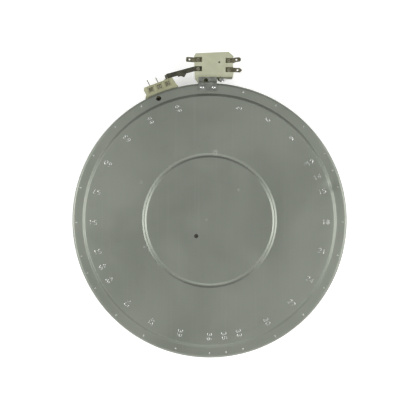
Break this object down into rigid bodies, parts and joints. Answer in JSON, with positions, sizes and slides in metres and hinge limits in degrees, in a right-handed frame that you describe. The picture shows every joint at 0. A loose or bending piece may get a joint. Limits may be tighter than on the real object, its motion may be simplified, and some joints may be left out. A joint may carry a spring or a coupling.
{
  "type": "dual radiant surface element",
  "caption": "Round radiant heater for a glass-ceramic hob: steel pan, two ribbon heating zones in insulation, rod limiter and ceramic terminal block.",
  "frame": {"origin": "the pan's axis in the plane of the insulation rim that presses on the glass", "axes": "+Z away from the glass, towards the pan's back; +Y from the pan's axis to the temperature limiter; +X to the right when the back faces the viewer and the limiter is up"},
  "size_m": [0.27, 0.301, 0.0289],
  "materials": {
    "plated_steel": "semi-gloss aluminised, with faint rolling marks and scratches",
    "base_board": "matte pressed microporous board",
    "ring_fibre": "matte pressed vermiculite",
    "ribbon_alloy": "dark oxidised heating alloy",
    "lead_alloy": "dull alloy strip",
    "ceramic_body": "unglazed steatite, cream and slightly stained",
    "terminal_metal": "dull heat-tinted strip",
    "strap_metal": "dark heat-tinted strip",
    "rivet_metal": "dull plated",
    "bracket_steel": "dull plated",
    "screw_metal": "bright plated",
    "spring_metal": "spring strip",
    "contact_silver": "bright",
    "quartz": "clear quartz",
    "rod_metal": "dull drawn rod"
  },
  "bodies": {
    "root": {"support_pan": "plated_steel", "insulation_base": "base_board", "outer_insulation_ring": "ring_fibre", "partition_ring": "ring_fibre", "outer_ribbon": "ribbon_alloy", "inner_ribbon": "ribbon_alloy", "lead_outer": "lead_alloy", "lead_inner": "lead_alloy", "lead_common": "lead_alloy", "terminal_block": "ceramic_body", "terminal_outer": "terminal_metal", "terminal_inner": "terminal_metal", "terminal_common": "terminal_metal", "terminal_rivets": "rivet_metal", "link_strap": "strap_metal", "limiter_housing": "ceramic_body", "limiter_cover": "ceramic_body", "cover_screws": "screw_metal", "tab_supply": "terminal_metal", "tab_signal_far": "terminal_metal", "tab_signal_near": "terminal_metal", "tab_rivets": "rivet_metal", "power_leaf": "spring_metal", "power_contact": "spring_metal", "signal_leaf": "spring_metal", "signal_contact": "spring_metal", "contact_buttons": "contact_silver", "probe_tube": "quartz", "probe_rod": "rod_metal", "probe_end_cap": "rod_metal", "limiter_bracket": "bracket_steel", "bracket_rivets": "screw_metal", "adjusting_screw": "screw_metal", "lock_nut": "screw_metal"}
  },
  "joints": []
}
